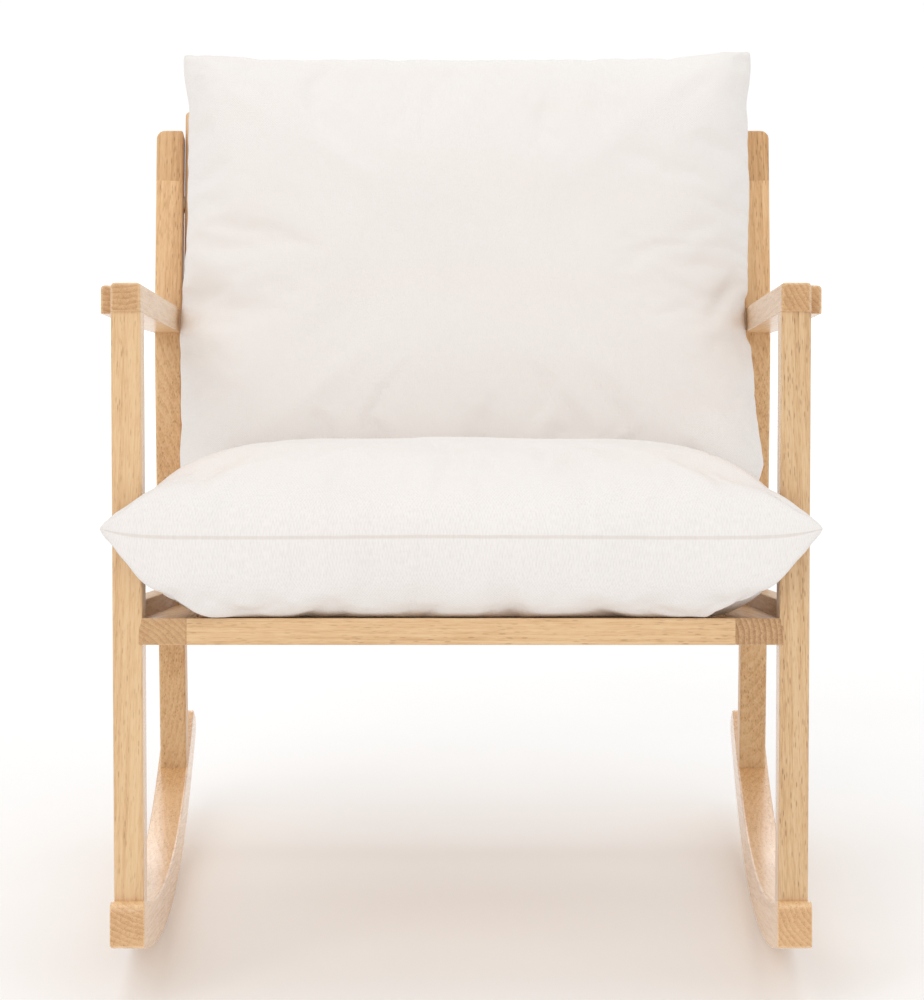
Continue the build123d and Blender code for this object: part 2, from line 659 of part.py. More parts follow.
# ---- assembly -----------------------------------------------------------------------------------
def build():
    """Every node in the drawing's own frame, square to the seat rails."""
    fasteners = {
        "cross_rail_bolts": make_cross_bolts(),
        "barrel_nuts": make_barrel_nuts(),
        "back_frame_bolts": make_back_bolts(),
        "spacer_washers": make_spacer_washers(),
        "threaded_inserts": make_inserts(),
        "slat_screws": make_slat_screws(),
        "cleat_screws": make_cleat_screws(),
        "runner_dowels": make_runner_dowels(),
        "arm_dowels": make_arm_dowels(),
        "side_frame_dowels": make_side_frame_dowels(),
        "cross_rail_dowels": make_cross_rail_dowels(),
        "back_frame_dowels": make_back_dowels(),
        "stile_foot_dowels": make_stile_foot_dowels(),
    }
    runner = make_runner()
    side_rail = make_side_rail()
    front_leg = make_front_leg(runner, side_rail)
    rear_leg = make_rear_leg(runner, side_rail)
    sided = {
        "runner": runner,
        "front_leg": front_leg,
        "rear_leg": rear_leg,
        "armrest": make_arm(rear_leg),
        "side_apron": make_apron(front_leg, rear_leg, side_rail),
        "seat_side_rail": side_rail,
        "slat_cleat": make_cleat(),
        "back_stile": make_stile(side_rail),
    }
    timber = {}
    for name, right in sided.items():
        for side, solid in pair(right).items():
            timber[f"{side}_{name}"] = solid
    timber["seat_front_rail"] = make_cross_rail(RAIL_FRONT_Y, FRONT_RAIL_DEPTH)
    timber["seat_rear_rail"] = make_cross_rail(RAIL_REAR_Y - REAR_RAIL_DEPTH, REAR_RAIL_DEPTH)
    timber["back_bottom_rail"] = make_back_rail(BACK_BOTTOM_RAIL, BACK_RAIL_THICK)
    timber["back_top_rail"] = make_back_rail(BACK_TOP_RAIL, BACK_RAIL_THICK)
    for number, centre_y in enumerate(slat_centres(), 1):
        timber[f"seat_slat_{number}"] = make_slat(centre_y)
    for number, span in enumerate(back_slat_spans(), 1):
        timber[f"back_slat_{number}"] = make_back_rail(span, BACK_SLAT_THICK)
    for name, solid in timber.items():
        timber[name] = bored(solid, fasteners)
    seat_cover, seat_pad = make_seat_cushion()
    back_cover, back_pad = make_back_cushion()
    seat_zip, back_zip = make_zips()
    soft = {
        "seat_cushion_cover": seat_cover,
        "seat_cushion_pad": seat_pad,
        "seat_cushion_zip": seat_zip,
        "back_cushion_cover": back_cover,
        "back_cushion_pad": back_pad,
        "back_cushion_zip": back_zip,
    }
    groups = {name: Compound(solids) for name, solids in fasteners.items()}
    return {**timber, **groups, **soft}


def boxes_meet(one, other):
    """Do two bounding boxes share any space?"""
    return all(
        getattr(one.min, axis) < getattr(other.max, axis)
        and getattr(other.min, axis) < getattr(one.max, axis)
        for axis in "XYZ"
    )


def bored(solid, fasteners):
    """A timber piece with a hole for each fastener that enters it."""
    around = solid.bounding_box()
    for group in fasteners.values():
        for fastener in group:
            if boxes_meet(around, fastener.bounding_box()):
                solid = solid - fastener
    return solid.solids().sort_by(SortBy.VOLUME)[-1]


def place(nodes):
    """Leans the chair back, stands it on z = 0 and centres it on x = y = 0."""
    leaned = {name: Rot(-REST_TILT, 0, 0) * shape for name, shape in nodes.items()}
    whole = [shape.bounding_box() for shape in leaned.values()]
    low_z = min(one.min.Z for one in whole)
    mid_y = (min(one.min.Y for one in whole) + max(one.max.Y for one in whole)) / 2
    return {name: Pos(0, -mid_y, -low_z) * shape for name, shape in leaned.items()}


def main():
    os.makedirs("parts", exist_ok=True)
    for name, shape in place(build()).items():
        export_step(shape, f"parts/{name}.step")


main()
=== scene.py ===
"""A wooden rocking chair with two loose linen cushions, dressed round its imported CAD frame."""

import json
import math

import bmesh
import bpy
import numpy as np
from mathutils import Matrix, Vector, noise
from mathutils.bvhtree import BVHTree


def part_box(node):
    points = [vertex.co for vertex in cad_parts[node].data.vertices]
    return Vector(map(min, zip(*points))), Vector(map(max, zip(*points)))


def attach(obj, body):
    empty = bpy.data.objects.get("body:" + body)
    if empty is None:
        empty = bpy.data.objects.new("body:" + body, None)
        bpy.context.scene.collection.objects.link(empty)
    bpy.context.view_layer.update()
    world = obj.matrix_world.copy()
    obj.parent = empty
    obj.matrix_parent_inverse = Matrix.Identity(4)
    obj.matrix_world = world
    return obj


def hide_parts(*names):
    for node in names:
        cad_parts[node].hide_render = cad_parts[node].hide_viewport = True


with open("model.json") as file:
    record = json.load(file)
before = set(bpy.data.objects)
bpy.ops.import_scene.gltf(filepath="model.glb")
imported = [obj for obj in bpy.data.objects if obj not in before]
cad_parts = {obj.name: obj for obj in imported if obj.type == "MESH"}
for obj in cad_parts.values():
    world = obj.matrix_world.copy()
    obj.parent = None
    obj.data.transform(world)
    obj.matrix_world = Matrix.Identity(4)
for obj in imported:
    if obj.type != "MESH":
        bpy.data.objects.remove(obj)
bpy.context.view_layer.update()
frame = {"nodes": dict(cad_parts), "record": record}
nodes = frame["nodes"]
mounts = {mount["name"]: mount for mount in frame["record"]["mounts"]}

# ---- the chair's own axes: across, rearward along the seat rails, and up from them ---------------
DECK_Y, DECK_Z = 310.0, 318.0  # the seat deck mount's place along the rails and above the runners
ORIGIN = Vector(mounts["seat_deck"]["pos_m"])
UP = Vector(mounts["seat_deck"]["axis"])
RIGHT = Vector((1, 0, 0))
REAR = UP.cross(RIGHT)
BACK_LEAN = math.radians(9.2)
BACK_UP = UP * math.cos(BACK_LEAN) + REAR * math.sin(BACK_LEAN)
BACK_REAR = REAR * math.cos(BACK_LEAN) - UP * math.sin(BACK_LEAN)


def at(x, y, z):
    """A point given in millimetres along the chair's own axes."""
    return ORIGIN + (RIGHT * x + REAR * (y - DECK_Y) + UP * (z - DECK_Z)) / 1000


BACK_FOOT = at(0, 546.0, 320.0)  # where the front of the back frame meets the seat rails' tops


def at_back(x, rearward, along):
    """A point in millimetres from the back frame's foot: across, behind it, and up along it."""
    return BACK_FOOT + (RIGHT * x + BACK_REAR * rearward + BACK_UP * along) / 1000


# ---- camera ----------------------------------------------------------------------------------
camera_data = bpy.data.cameras.new("camera")
camera = bpy.data.objects.new("camera", camera_data)
bpy.context.scene.collection.objects.link(camera)
bpy.context.scene.camera = camera
camera_data.sensor_width = 36
camera_data.lens = 170.0
camera_data.shift_x = -0.013
camera_data.shift_y = -0.013
camera_data.clip_end = 200
camera.matrix_world = Matrix.Translation(at(13.05, -4407.2, 442.3)) @ Matrix(
    (
        (RIGHT.x, UP.x, -REAR.x, 0),
        (RIGHT.y, UP.y, -REAR.y, 0),
        (RIGHT.z, UP.z, -REAR.z, 0),
        (0, 0, 0, 1),
    )
)

# ---- light and floor -------------------------------------------------------------------------
scene = bpy.context.scene
scene.view_settings.view_transform = "Standard"
world = bpy.data.worlds.new("world")
scene.world = world
world.use_nodes = True
world.node_tree.nodes["Background"].inputs["Color"].default_value = (1, 1, 1, 1)
world.node_tree.nodes["Background"].inputs["Strength"].default_value = 0.78


def softbox(name, place, target, size, power):
    lamp = bpy.data.lights.new(name, "AREA")
    lamp.shape = "SQUARE"
    lamp.size = size
    lamp.energy = power
    holder = bpy.data.objects.new(name, lamp)
    scene.collection.objects.link(holder)
    holder.location = place
    aim = Vector(target) - Vector(place)
    holder.rotation_euler = aim.to_track_quat("-Z", "Y").to_euler()


softbox("key", (-1.8, -3.6, 3.7), (0, 0, 0.5), 2.4, 38)
softbox("fill", (2.6, -3.8, 2.8), (0, 0, 0.5), 2.6, 10)
softbox("top", (0, 0.2, 4.2), (0, 0, 0.4), 3.0, 24)
softbox("rear", (0, 4.6, 2.6), (0, 0, 0.3), 3.4, 40)


def mesh_object(name, vertices, faces):
    data = bpy.data.meshes.new(name)
    data.from_pydata([tuple(v) for v in vertices], [], faces)
    data.update()
    made = bpy.data.objects.new(name, data)
    scene.collection.objects.link(made)
    return made


FLOOR_HALF = 60.0
floor = mesh_object(
    "floor",
    [(sx * FLOOR_HALF, sy * FLOOR_HALF, 0) for sx, sy in ((-1, -1), (1, -1), (1, 1), (-1, 1))],
    [(0, 1, 2, 3)],
)


# ---- materials -------------------------------------------------------------------------------
class Tree:
    """A material's node tree, with one call to add a node and join it up."""

    def __init__(self, name):
        self.material = bpy.data.materials.new(name)
        self.material.use_nodes = True
        self.tree = self.material.node_tree
        self.shader = self.tree.nodes["Principled BSDF"]

    def add(self, kind, inputs=None, **settings):
        made = self.tree.nodes.new("ShaderNode" + kind)
        for key, value in settings.items():
            setattr(made, key, value)
        for key, value in (inputs or {}).items():
            self.join(value, made.inputs[key])
        return made

    def join(self, value, socket):
        if isinstance(value, bpy.types.NodeSocket):
            self.tree.links.new(value, socket)
        else:
            socket.default_value = value

    def math(self, operation, *values, clamp=False):
        made = self.add("Math", operation=operation, use_clamp=clamp)
        for number, value in enumerate(values):
            self.join(value, made.inputs[number])
        return made.outputs[0]

    def scaled(self, vector, by):
        return self.add("VectorMath", {0: vector, 1: by}, operation="MULTIPLY").outputs[0]

    def spread(self, value, low, high, to_low=0.0, to_high=1.0):
        """A value taken from one range to another, smoothly and no further."""
        made = self.add("MapRange", interpolation_type="SMOOTHSTEP")
        for key, number in enumerate((value, low, high, to_low, to_high)):
            self.join(number, made.inputs[key])
        return made.outputs[0]

    def noise(self, vector, scale=1.0, detail=2.0, rough=0.5):
        return self.add(
            "TexNoise", {"Vector": vector, "Scale": scale, "Detail": detail, "Roughness": rough}
        ).outputs["Fac"]

    def ramp(self, value, *stops):
        made = self.add("ValToRGB", {"Fac": value})
        elements = made.color_ramp.elements
        while len(elements) < len(stops):
            elements.new(0.5)
        for element, (place, colour) in zip(elements, stops):
            element.position = place
            element.color = (*colour, 1)
        return made.outputs["Color"]

    def mix(self, share, one, other, blend="MIX"):
        made = self.add("Mix", data_type="RGBA", blend_type=blend)
        self.join(share, made.inputs["Factor"])
        for value, key in ((one, 6), (other, 7)):
            value = value if isinstance(value, bpy.types.NodeSocket) else (*value, 1)
            self.join(value, made.inputs[key])
        return made.outputs[2]

    def bump(self, height, strength, distance, below=None):
        made = self.add("Bump", {"Height": height, "Strength": strength, "Distance": distance})
        if below is not None:
            self.join(below, made.inputs["Normal"])
        return made.outputs[0]

    def finish(self, **inputs):
        for key, value in inputs.items():
            self.join(value, self.shader.inputs[key.replace("_", " ")])
        return self.material


LIGHT_WOOD = (0.80, 0.545, 0.295)
MID_WOOD = (0.725, 0.455, 0.225)
DEEP_WOOD = (0.585, 0.335, 0.145)
PORE = (0.36, 0.185, 0.075)
FIGURE_MIDDLE = 1.61  # the middle of what the wood's summed patterns come to


def wood(
    node,
    grain,
    seed,
    tone=1.0,
    contrast=1.0,
    coat=0.8,
    ends=0.25,
    joint=None,
    painted_light_ends=(1.0, 1.0),
):
    """Pale oiled hardwood. Its pattern is solid, so an end shows end grain where the board is cut.
    ends is how strongly the rings show there. joint is a point past which the board goes on as
    another, finger-jointed block. painted_light_ends is the board's tone at its two ends, painted
    shade
    and painted light: darker at the end that stands in shade, lighter at the end that faces the
    light."""
    t = Tree(f"wood_{node}")
    grain = Vector(grain).normalized()
    turn = grain.rotation_difference(Vector((0, 0, 1)))
    low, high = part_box(node)
    angle, pith = seed * 2.4, 0.045 + 0.02 * (seed % 4)
    middle = 0.37 * seed % 2.0  # where the board lies along the pattern
    offset = Vector((pith * math.cos(angle), pith * math.sin(angle), middle))
    offset -= turn @ ((low + high) / 2)
    coords = t.add("TexCoord")
    place = t.add(
        "Mapping",
        {
            "Vector": coords.outputs["Object"],
            "Rotation": turn.to_euler(),
            "Location": offset,
        },
    ).outputs[0]
    along = t.add("SeparateXYZ", {0: place}).outputs[2]
    if joint is not None:
        past = t.math("GREATER_THAN", along, (turn @ joint + offset).z)
        shift = t.add("CombineXYZ", {0: t.math("MULTIPLY", past, 0.05), 2: past}).outputs[0]
        place = t.add("VectorMath", {0: place, 1: shift}, operation="ADD").outputs[0]
    broad = t.noise(t.scaled(place, (30, 30, 1.6)), detail=3)
    drift = t.noise(t.scaled(place, (9, 9, 1.1)), detail=1)
    ring = t.add(
        "TexWave",
        {"Vector": t.scaled(place, (1, 1, 0.06)), "Scale": 62.0, "Distortion": 2.4, "Detail": 2.0},
        wave_type="RINGS",
        rings_direction="Z",
        wave_profile="SAW",
    ).outputs["Fac"]
    fibre = t.noise(t.scaled(place, (900, 900, 60)), detail=3, rough=0.65)
    streak = t.noise(t.scaled(place, (330, 330, 11)), detail=2, rough=0.6)
    cells = t.add(
        "TexVoronoi",
        {"Vector": t.scaled(place, (560, 560, 95)), "Scale": 1.0, "Randomness": 1.0},
    )
    in_pore = t.spread(cells.outputs["Distance"], 0.18, 0.42, 1.0, 0.0)
    chosen = t.spread(t.add("SeparateColor", {0: cells.outputs["Color"]}).outputs[0], 0.35, 0.75)
    pore = t.math("MULTIPLY", in_pore, chosen)
    pore = t.math("MULTIPLY", pore, t.spread(t.math("ADD", streak, broad), 0.75, 1.15, 0.25, 1.0))
    value = t.math("MULTIPLY", ring, 0.22)
    for part, share in ((broad, 0.7), (drift, 0.4), (streak, 0.75), (fibre, 1.15)):
        value = t.math("MULTIPLY_ADD", part, share, value)
    half_range = 0.47 / contrast
    value = t.spread(value, FIGURE_MIDDLE - half_range, FIGURE_MIDDLE + half_range)
    colour = t.ramp(value, (0.0, LIGHT_WOOD), (0.5, MID_WOOD), (1.0, DEEP_WOOD))
    facing = t.add(
        "VectorMath",
        {0: coords.outputs["Normal"], 1: tuple(grain)},
        operation="DOT_PRODUCT",
    ).outputs["Value"]
    end = t.spread(t.math("ABSOLUTE", facing), 0.75, 0.97)
    colour = t.mix(t.math("MULTIPLY", end, 0.85), colour, (0.83, 0.75, 0.66), "MULTIPLY")
    line = t.math("MULTIPLY", end, t.spread(ring, 0.25, 0.95, 0.0, ends))
    colour = t.mix(line, colour, (0.70, 0.56, 0.43), "MULTIPLY")
    colour = t.mix(t.math("MULTIPLY", pore, min(1.0, 0.62 * contrast)), colour, PORE)
    if joint is not None:
        colour = t.mix(t.math("MULTIPLY", past, 0.9), colour, (0.84, 0.79, 0.72), "MULTIPLY")
    # Painted shade and painted light along the board: its tone runs from the shaded end to the lit
    # end.
    reach = (high - low).length / 2
    painted_light_share = t.spread(along, middle - reach, middle + reach)
    tint = t.mix(painted_light_share, (tone * painted_light_ends[0],) * 3, (tone * painted_light_ends[1],) * 3)
    colour = t.mix(1.0, colour, tint, "MULTIPLY")
    height = t.math("MULTIPLY_ADD", pore, -1.0, t.math("MULTIPLY", fibre, 0.35))
    return t.finish(
        Base_Color=colour,
        Roughness=t.spread(streak, 0.3, 0.7, 0.40, 0.52),
        Specular_IOR_Level=0.5,
        Coat_Weight=coat,
        Coat_Roughness=0.22,
        Normal=t.bump(height, 0.4, 0.0004),
    )


THREAD = 0.0014  # from one thread to the next
WANDER = 0.0014  # how far a thread strays from its line
CLOTH = (0.872, 0.836, 0.806)


def linen(name, half_width, half_height, seam_width=0.0005):
    """Plain-woven slubby linen, laid out flat on each panel by the mesh's own cloth coordinates."""
    t = Tree(name)
    flat = t.add("Attribute", attribute_name="cloth").outputs["Vector"]
    wander = t.add("TexNoise", {"Vector": flat, "Scale": 130.0, "Detail": 1.0}).outputs["Color"]
    wander = t.add("VectorMath", {0: wander, 1: (0.5, 0.5, 0.5)}, operation="SUBTRACT").outputs[0]
    wander = t.scaled(wander, (WANDER, WANDER, 0))
    line = t.add("VectorMath", {0: flat, 1: wander}, operation="ADD").outputs[0]
    line = t.add("SeparateXYZ", {0: line})
    warp = t.math("SINE", t.math("MULTIPLY", line.outputs[0], math.pi / THREAD))
    weft = t.math("SINE", t.math("MULTIPLY", line.outputs[1], math.pi / THREAD))
    over = t.math("MULTIPLY", warp, weft)
    round_warp = t.math("ABSOLUTE", warp)
    round_weft = t.math("ABSOLUTE", weft)
    up = t.math("MULTIPLY_ADD", over, 0.5, 0.5)
    down = t.math("SUBTRACT", 1.0, up)
    threads = t.math(
        "MAXIMUM",
        t.math("MULTIPLY", round_warp, t.math("POWER", up, 0.4)),
        t.math("MULTIPLY", round_weft, t.math("POWER", down, 0.4)),
    )
    slub_across = t.noise(t.scaled(flat, (55, 1300, 1)), detail=2)
    slub_up = t.noise(t.scaled(flat, (1300, 45, 1)), detail=2)
    slub = t.math("ADD", slub_across, slub_up)
    coords = t.add("TexCoord").outputs["Object"]
    cloud = t.noise(coords, 7.0, detail=3)
    bands = t.noise(t.scaled(flat, (3.0, 16.0, 1)), detail=2)
    nap = t.noise(t.scaled(flat, (620, 620, 1)), detail=2, rough=0.6)
    value = t.math("MULTIPLY_ADD", up, 0.20, t.math("MULTIPLY", slub, 0.17))
    value = t.math("MULTIPLY_ADD", cloud, 0.16, value)
    value = t.math("MULTIPLY_ADD", nap, 0.60, value)
    value = t.spread(value, 0.39, 0.90)
    colour = t.ramp(
        value, (0.0, [c * 0.93 for c in CLOTH]), (0.55, CLOTH), (1.0, [c * 1.035 for c in CLOTH])
    )
    colour = t.mix(t.spread(bands, 0.45, 0.65, 0.0, 0.55), colour, (1.0, 0.985, 0.978), "MULTIPLY")
    place = t.add("SeparateXYZ", {0: flat})
    to_side = t.math("SUBTRACT", half_width, t.math("ABSOLUTE", place.outputs[0]))
    to_end = t.math("SUBTRACT", half_height, t.math("ABSOLUTE", place.outputs[1]))
    to_seam = t.math("MINIMUM", to_side, to_end)
    seam = t.spread(to_seam, seam_width * 0.3, seam_width, 1.0, 0.0)
    colour = t.mix(t.math("MULTIPLY", seam, 0.42), colour, (0.66, 0.57, 0.50))
    pull = t.noise(t.scaled(flat, (160, 160, 1)), detail=1)
    near = t.spread(to_seam, 0.002, 0.022, 1.0, 0.0)
    pucker = t.math("MULTIPLY", pull, near)
    height = t.math("MULTIPLY_ADD", threads, 0.5, t.math("MULTIPLY", slub, 0.6))
    height = t.math("MULTIPLY_ADD", nap, 1.3, height)
    fine = t.bump(height, 0.5, 0.0004)
    return t.finish(
        Base_Color=colour,
        Roughness=0.93,
        Specular_IOR_Level=0.22,
        Sheen_Weight=0.12,
        Sheen_Roughness=0.55,
        Normal=t.bump(pucker, 0.35, 0.0025, fine),
    )


def plain(name, colour, roughness, metallic=0.0, scratch=400.0, depth=0.00008):
    """A metal or moulded part with a brushed or grained surface."""
    t = Tree(name)
    coords = t.add("TexCoord").outputs["Object"]
    grain = t.noise(t.scaled(coords, (scratch, scratch, scratch * 0.12)), detail=3)
    worn = t.noise(coords, 90.0, detail=3)
    shade = t.spread(t.math("ADD", grain, worn), 0.7, 1.3)
    return t.finish(
        Base_Color=t.ramp(
            shade, (0.0, [c * 0.82 for c in colour]), (1.0, [min(1, c * 1.1) for c in colour])
        ),
        Roughness=t.spread(worn, 0.3, 0.7, roughness * 0.8, roughness * 1.25),
        Metallic=metallic,
        Normal=t.bump(grain, 0.3, depth),
    )


def paint(piece, material):
    piece.data.materials.clear()
    piece.data.materials.append(material)


def dress_floor():
    t = Tree("floor")
    coords = t.add("TexCoord").outputs["Object"]
    speck = t.noise(coords, 3.0, detail=4)
    colour = t.ramp(speck, (0.3, (0.80, 0.80, 0.80)), (0.7, (0.82, 0.82, 0.82)))
    away = t.add("VectorMath", {0: coords}, operation="LENGTH").outputs["Value"]
    # The floor glows though it is no lamp, painted light: weak near the chair, growing stronger far
    # off.
    paint(
        floor,
        t.finish(
            Base_Color=colour,
            Roughness=0.9,
            Specular_IOR_Level=0.1,
            Emission_Color=(1, 1, 1, 1),
            Emission_Strength=t.spread(away, 0.4, 6.0, 0.17, 0.38),
        ),
    )


def lean_forward(degrees):
    """The direction of a board that stands on the rails with its top leaning forward."""
    angle = math.radians(degrees)
    return UP * math.cos(angle) - REAR * math.sin(angle)


FRONT_LEG_LEAN = 4.5
REAR_LEG_JOINT = (311, 600, 767)  # where the rear legs' blocks are finger-jointed


def dress_frame():
    """Each board gets its own grain direction and its own stretch of the pattern."""
    boards = {
        "runner": (REAR, {"tone": 1.13, "coat": 1.0}),
        "front_leg": (lean_forward(FRONT_LEG_LEAN), {}),
        "rear_leg": (BACK_UP, {}),
        "armrest": (REAR, {"tone": 1.03}),
        # The side aprons' lower tone, 0.85, is painted shade: they stand in shadow under the seat
        # cushion.
        "side_apron": (REAR, {"tone": 0.85, "coat": 0.15}),
        "seat_side_rail": (REAR, {"tone": 0.97}),
        "slat_cleat": (REAR, {}),
        "back_stile": (BACK_UP, {"tone": 1.03}),
    }
    own = {
        "right_front_leg": {"tone": 0.94, "contrast": 1.45},
        "right_seat_side_rail": {"tone": 0.90, "contrast": 1.3, "ends": 0.6},
        "left_front_leg": {"tone": 1.02},
    }
    # The rear legs are painted darker towards the foot and lighter towards the top: painted shade
    # low down, painted light on the posts above the arms.
    for side, sign in (("left", -1), ("right", 1)):
        x, y, z = REAR_LEG_JOINT
        own[f"{side}_rear_leg"] = {
            "contrast": 1.15,
            "joint": at(sign * x, y, z),
            "painted_light_ends": (0.95, 1.14),
            "coat": 0.15,
        }
    seed = 1
    for kind, (grain, look) in boards.items():
        for side in ("left", "right"):
            name = f"{side}_{kind}"
            slant = 0.035 if side == "left" else -0.03
            settings = {**look, **own.get(name, {})}
            paint(nodes[name], wood(name, grain + RIGHT * slant, seed, **settings))
            seed += 3
    for name, node in nodes.items():
        across = name.startswith(("seat_front", "seat_rear", "seat_slat", "back_slat"))
        if across or name in ("back_bottom_rail", "back_top_rail"):
            paint(node, wood(name, RIGHT + REAR * 0.02, seed, tone=1.03))
            seed += 2
        elif name.endswith("dowels"):
            paint(node, wood(name, UP, seed, tone=0.95))
            seed += 1
    steel = plain("zinc_steel", (0.60, 0.60, 0.585), 0.34, metallic=1.0)
    brass = plain("insert_brass", (0.72, 0.55, 0.27), 0.32, metallic=1.0)
    for name in (
        "slat_screws",
        "cleat_screws",
        "cross_rail_bolts",
        "back_frame_bolts",
        "barrel_nuts",
        "spacer_washers",
    ):
        paint(nodes[name], steel)
    paint(nodes["threaded_inserts"], brass)


dress_floor()
dress_frame()

# ---- cushions --------------------------------------------------------------------------------
STEP = 0.0062  # between the cloth's grid lines


def smooth(value, low, high):
    share = np.clip((value - low) / (high - low), 0, 1)
    return share * share * (3 - 2 * share)


def swell(share, power, full):
    """How full a cushion is at a share of the way in from its seam."""
    return (1 - (1 - np.clip(share, 0, 1)) ** power) ** full


def both(one, other):
    """Two fullnesses joined: full only where both are, and a plain wedge towards a corner."""
    one, other = np.maximum(one, 1e-6), np.maximum(other, 1e-6)
    return np.sqrt(2 / (one**-2 + other**-2))


def wedge(height, most):
    """A height kept, softly, under the most that it may be."""
    height, most = np.maximum(height, 1e-6), np.maximum(most, 1e-6)
    return (height**-4 + most**-4) ** -0.25


def sewn_panels(name, half_width, half_height, shape):
    """Two panels of cloth sewn along their edges. shape gives the points for arrays of flat
    coordinates and which panel they are on. The flat coordinates stay with the mesh."""
    across = int(round(2 * half_width / STEP))
    up = int(round(2 * half_height / STEP))
    x = np.linspace(-half_width, half_width, across + 1)
    y = np.linspace(-half_height, half_height, up + 1)
    flat_x, flat_y = np.meshgrid(x, y, indexing="ij")
    index = {}
    flat, panel = [], []
    for side in (1, -1):
        for i in range(across + 1):
            for j in range(up + 1):
                edge = i in (0, across) or j in (0, up)
                if side < 0 and edge:
                    index[side, i, j] = index[1, i, j]
                    continue
                index[side, i, j] = len(flat)
                flat.append((flat_x[i, j], flat_y[i, j]))
                panel.append(0 if edge else side)
    flat = np.array(flat)
    points = shape(flat[:, 0] / half_width, flat[:, 1] / half_height, np.array(panel))
    faces = []
    for side in (1, -1):
        for i in range(across):
            for j in range(up):
                ring = [(i, j), (i + 1, j), (i + 1, j + 1), (i, j + 1)]
                ring = ring if side > 0 else ring[::-1]
                faces.append([index[side, *corner] for corner in ring])
    made = mesh_object(name, points, faces)
    cloth = made.data.attributes.new("cloth", "FLOAT_VECTOR", "POINT")
    cloth.data.foreach_set(
        "vector", np.column_stack([flat, np.zeros(len(flat))]).astype(np.float32).ravel()
    )
    return made, flat, np.array(panel)


def vertex_array(piece):
    co = np.zeros(len(piece.data.vertices) * 3, np.float32)
    piece.data.vertices.foreach_get("co", co)
    return co.reshape(-1, 3).astype(float)


def set_vertices(piece, co):
    piece.data.vertices.foreach_set("co", co.astype(np.float32).ravel())
    piece.data.update()


KEPT_SHAPE = 0.9  # how much of the cushion's drawn outline is kept; the rest is the cloth's own
SMOOTHINGS = 160  # how broad a change of outline is told from the cloth's own
INFLATING = {"frames": 22, "pressure": 3.0, "slack": 0.03, "cap": 0.014}


def spread_out(piece, field, rounds):
    """A field on the mesh's points, averaged with their neighbours a number of times."""
    ends = np.zeros(2 * len(piece.data.edges), np.int64)
    piece.data.edges.foreach_get("vertices", ends)
    one, other = ends[0::2], ends[1::2]
    count = np.bincount(ends, minlength=len(field))[:, None]
    for _ in range(rounds):
        total = np.zeros_like(field)
        for axis in range(3):
            total[:, axis] = np.bincount(one, field[other, axis], len(field))
            total[:, axis] += np.bincount(other, field[one, axis], len(field))
        field = 0.5 * field + 0.5 * total / count
    return field


def inflate(piece, panel, frames, pressure, slack, cap):
    """Blows the cover up against its filling, and keeps each point within cap of where it began."""
    start = vertex_array(piece)
    seam = piece.vertex_groups.new(name="seam")
    seam.add([int(n) for n in np.flatnonzero(panel == 0)], 1.0, "REPLACE")
    cloth = piece.modifiers.new("cloth", "CLOTH")
    settings = cloth.settings
    settings.vertex_group_mass = "seam"
    settings.quality = 6
    settings.mass = 0.3
    settings.tension_stiffness = 22
    settings.compression_stiffness = 16
    settings.shear_stiffness = 8
    settings.bending_stiffness = 0.35
    settings.tension_damping = 8
    settings.compression_damping = 8
    settings.shear_damping = 8
    settings.air_damping = 2
    settings.use_pressure = True
    settings.uniform_pressure_force = pressure
    settings.shrink_min = -slack
    settings.effector_weights.gravity = 0
    cloth.collision_settings.use_collision = False
    cloth.collision_settings.use_self_collision = False
    scene.frame_start, scene.frame_end = 1, frames
    cloth.point_cache.frame_start, cloth.point_cache.frame_end = 1, frames
    for number in range(1, frames + 1):
        scene.frame_set(number)
    blown = piece.evaluated_get(bpy.context.evaluated_depsgraph_get())
    co = np.zeros(len(blown.data.vertices) * 3, np.float32)
    blown.data.vertices.foreach_get("co", co)
    piece.modifiers.remove(cloth)
    scene.frame_set(1)
    move = co.reshape(-1, 3).astype(float) - start
    move -= KEPT_SHAPE * spread_out(piece, move, SMOOTHINGS)
    length = np.linalg.norm(move, axis=1)
    limit = cap * np.tanh(length / cap) / np.maximum(length, 1e-9)
    set_vertices(piece, start + move * limit[:, None])


def to_world(x, y, z):
    """Arrays of millimetres along the chair's own axes, as points in metres."""
    return (
        np.array(ORIGIN)
        + (
            np.outer(x, RIGHT)
            + np.outer(y - DECK_Y, REAR)
            + np.outer(z - DECK_Z, UP)
        )
        / 1000
    )


def back_to_world(x, rearward, along):
    return (
        np.array(BACK_FOOT)
        + (np.outer(x, RIGHT) + np.outer(rearward, BACK_REAR) + np.outer(along, BACK_UP)) / 1000
    )


def inward(flat, half, crook, kept):
    """Turns a panel's flat coordinate into its share of the way out in plan. Near the seam the
    cloth climbs rather than going inward, so the plan share changes slowly there."""
    out = (1 - np.abs(flat)) * half
    whole = half - crook * kept * (1 - math.exp(-half / crook))
    plan = out - crook * kept * (1 - np.exp(-out / crook))
    return np.sign(flat) * (1 - plan / whole)


SEAT_HALF = (0.337, 0.325)
REST_Z = 320.8  # how low the seat cushion comes
REST_SOFTNESS = 8.0


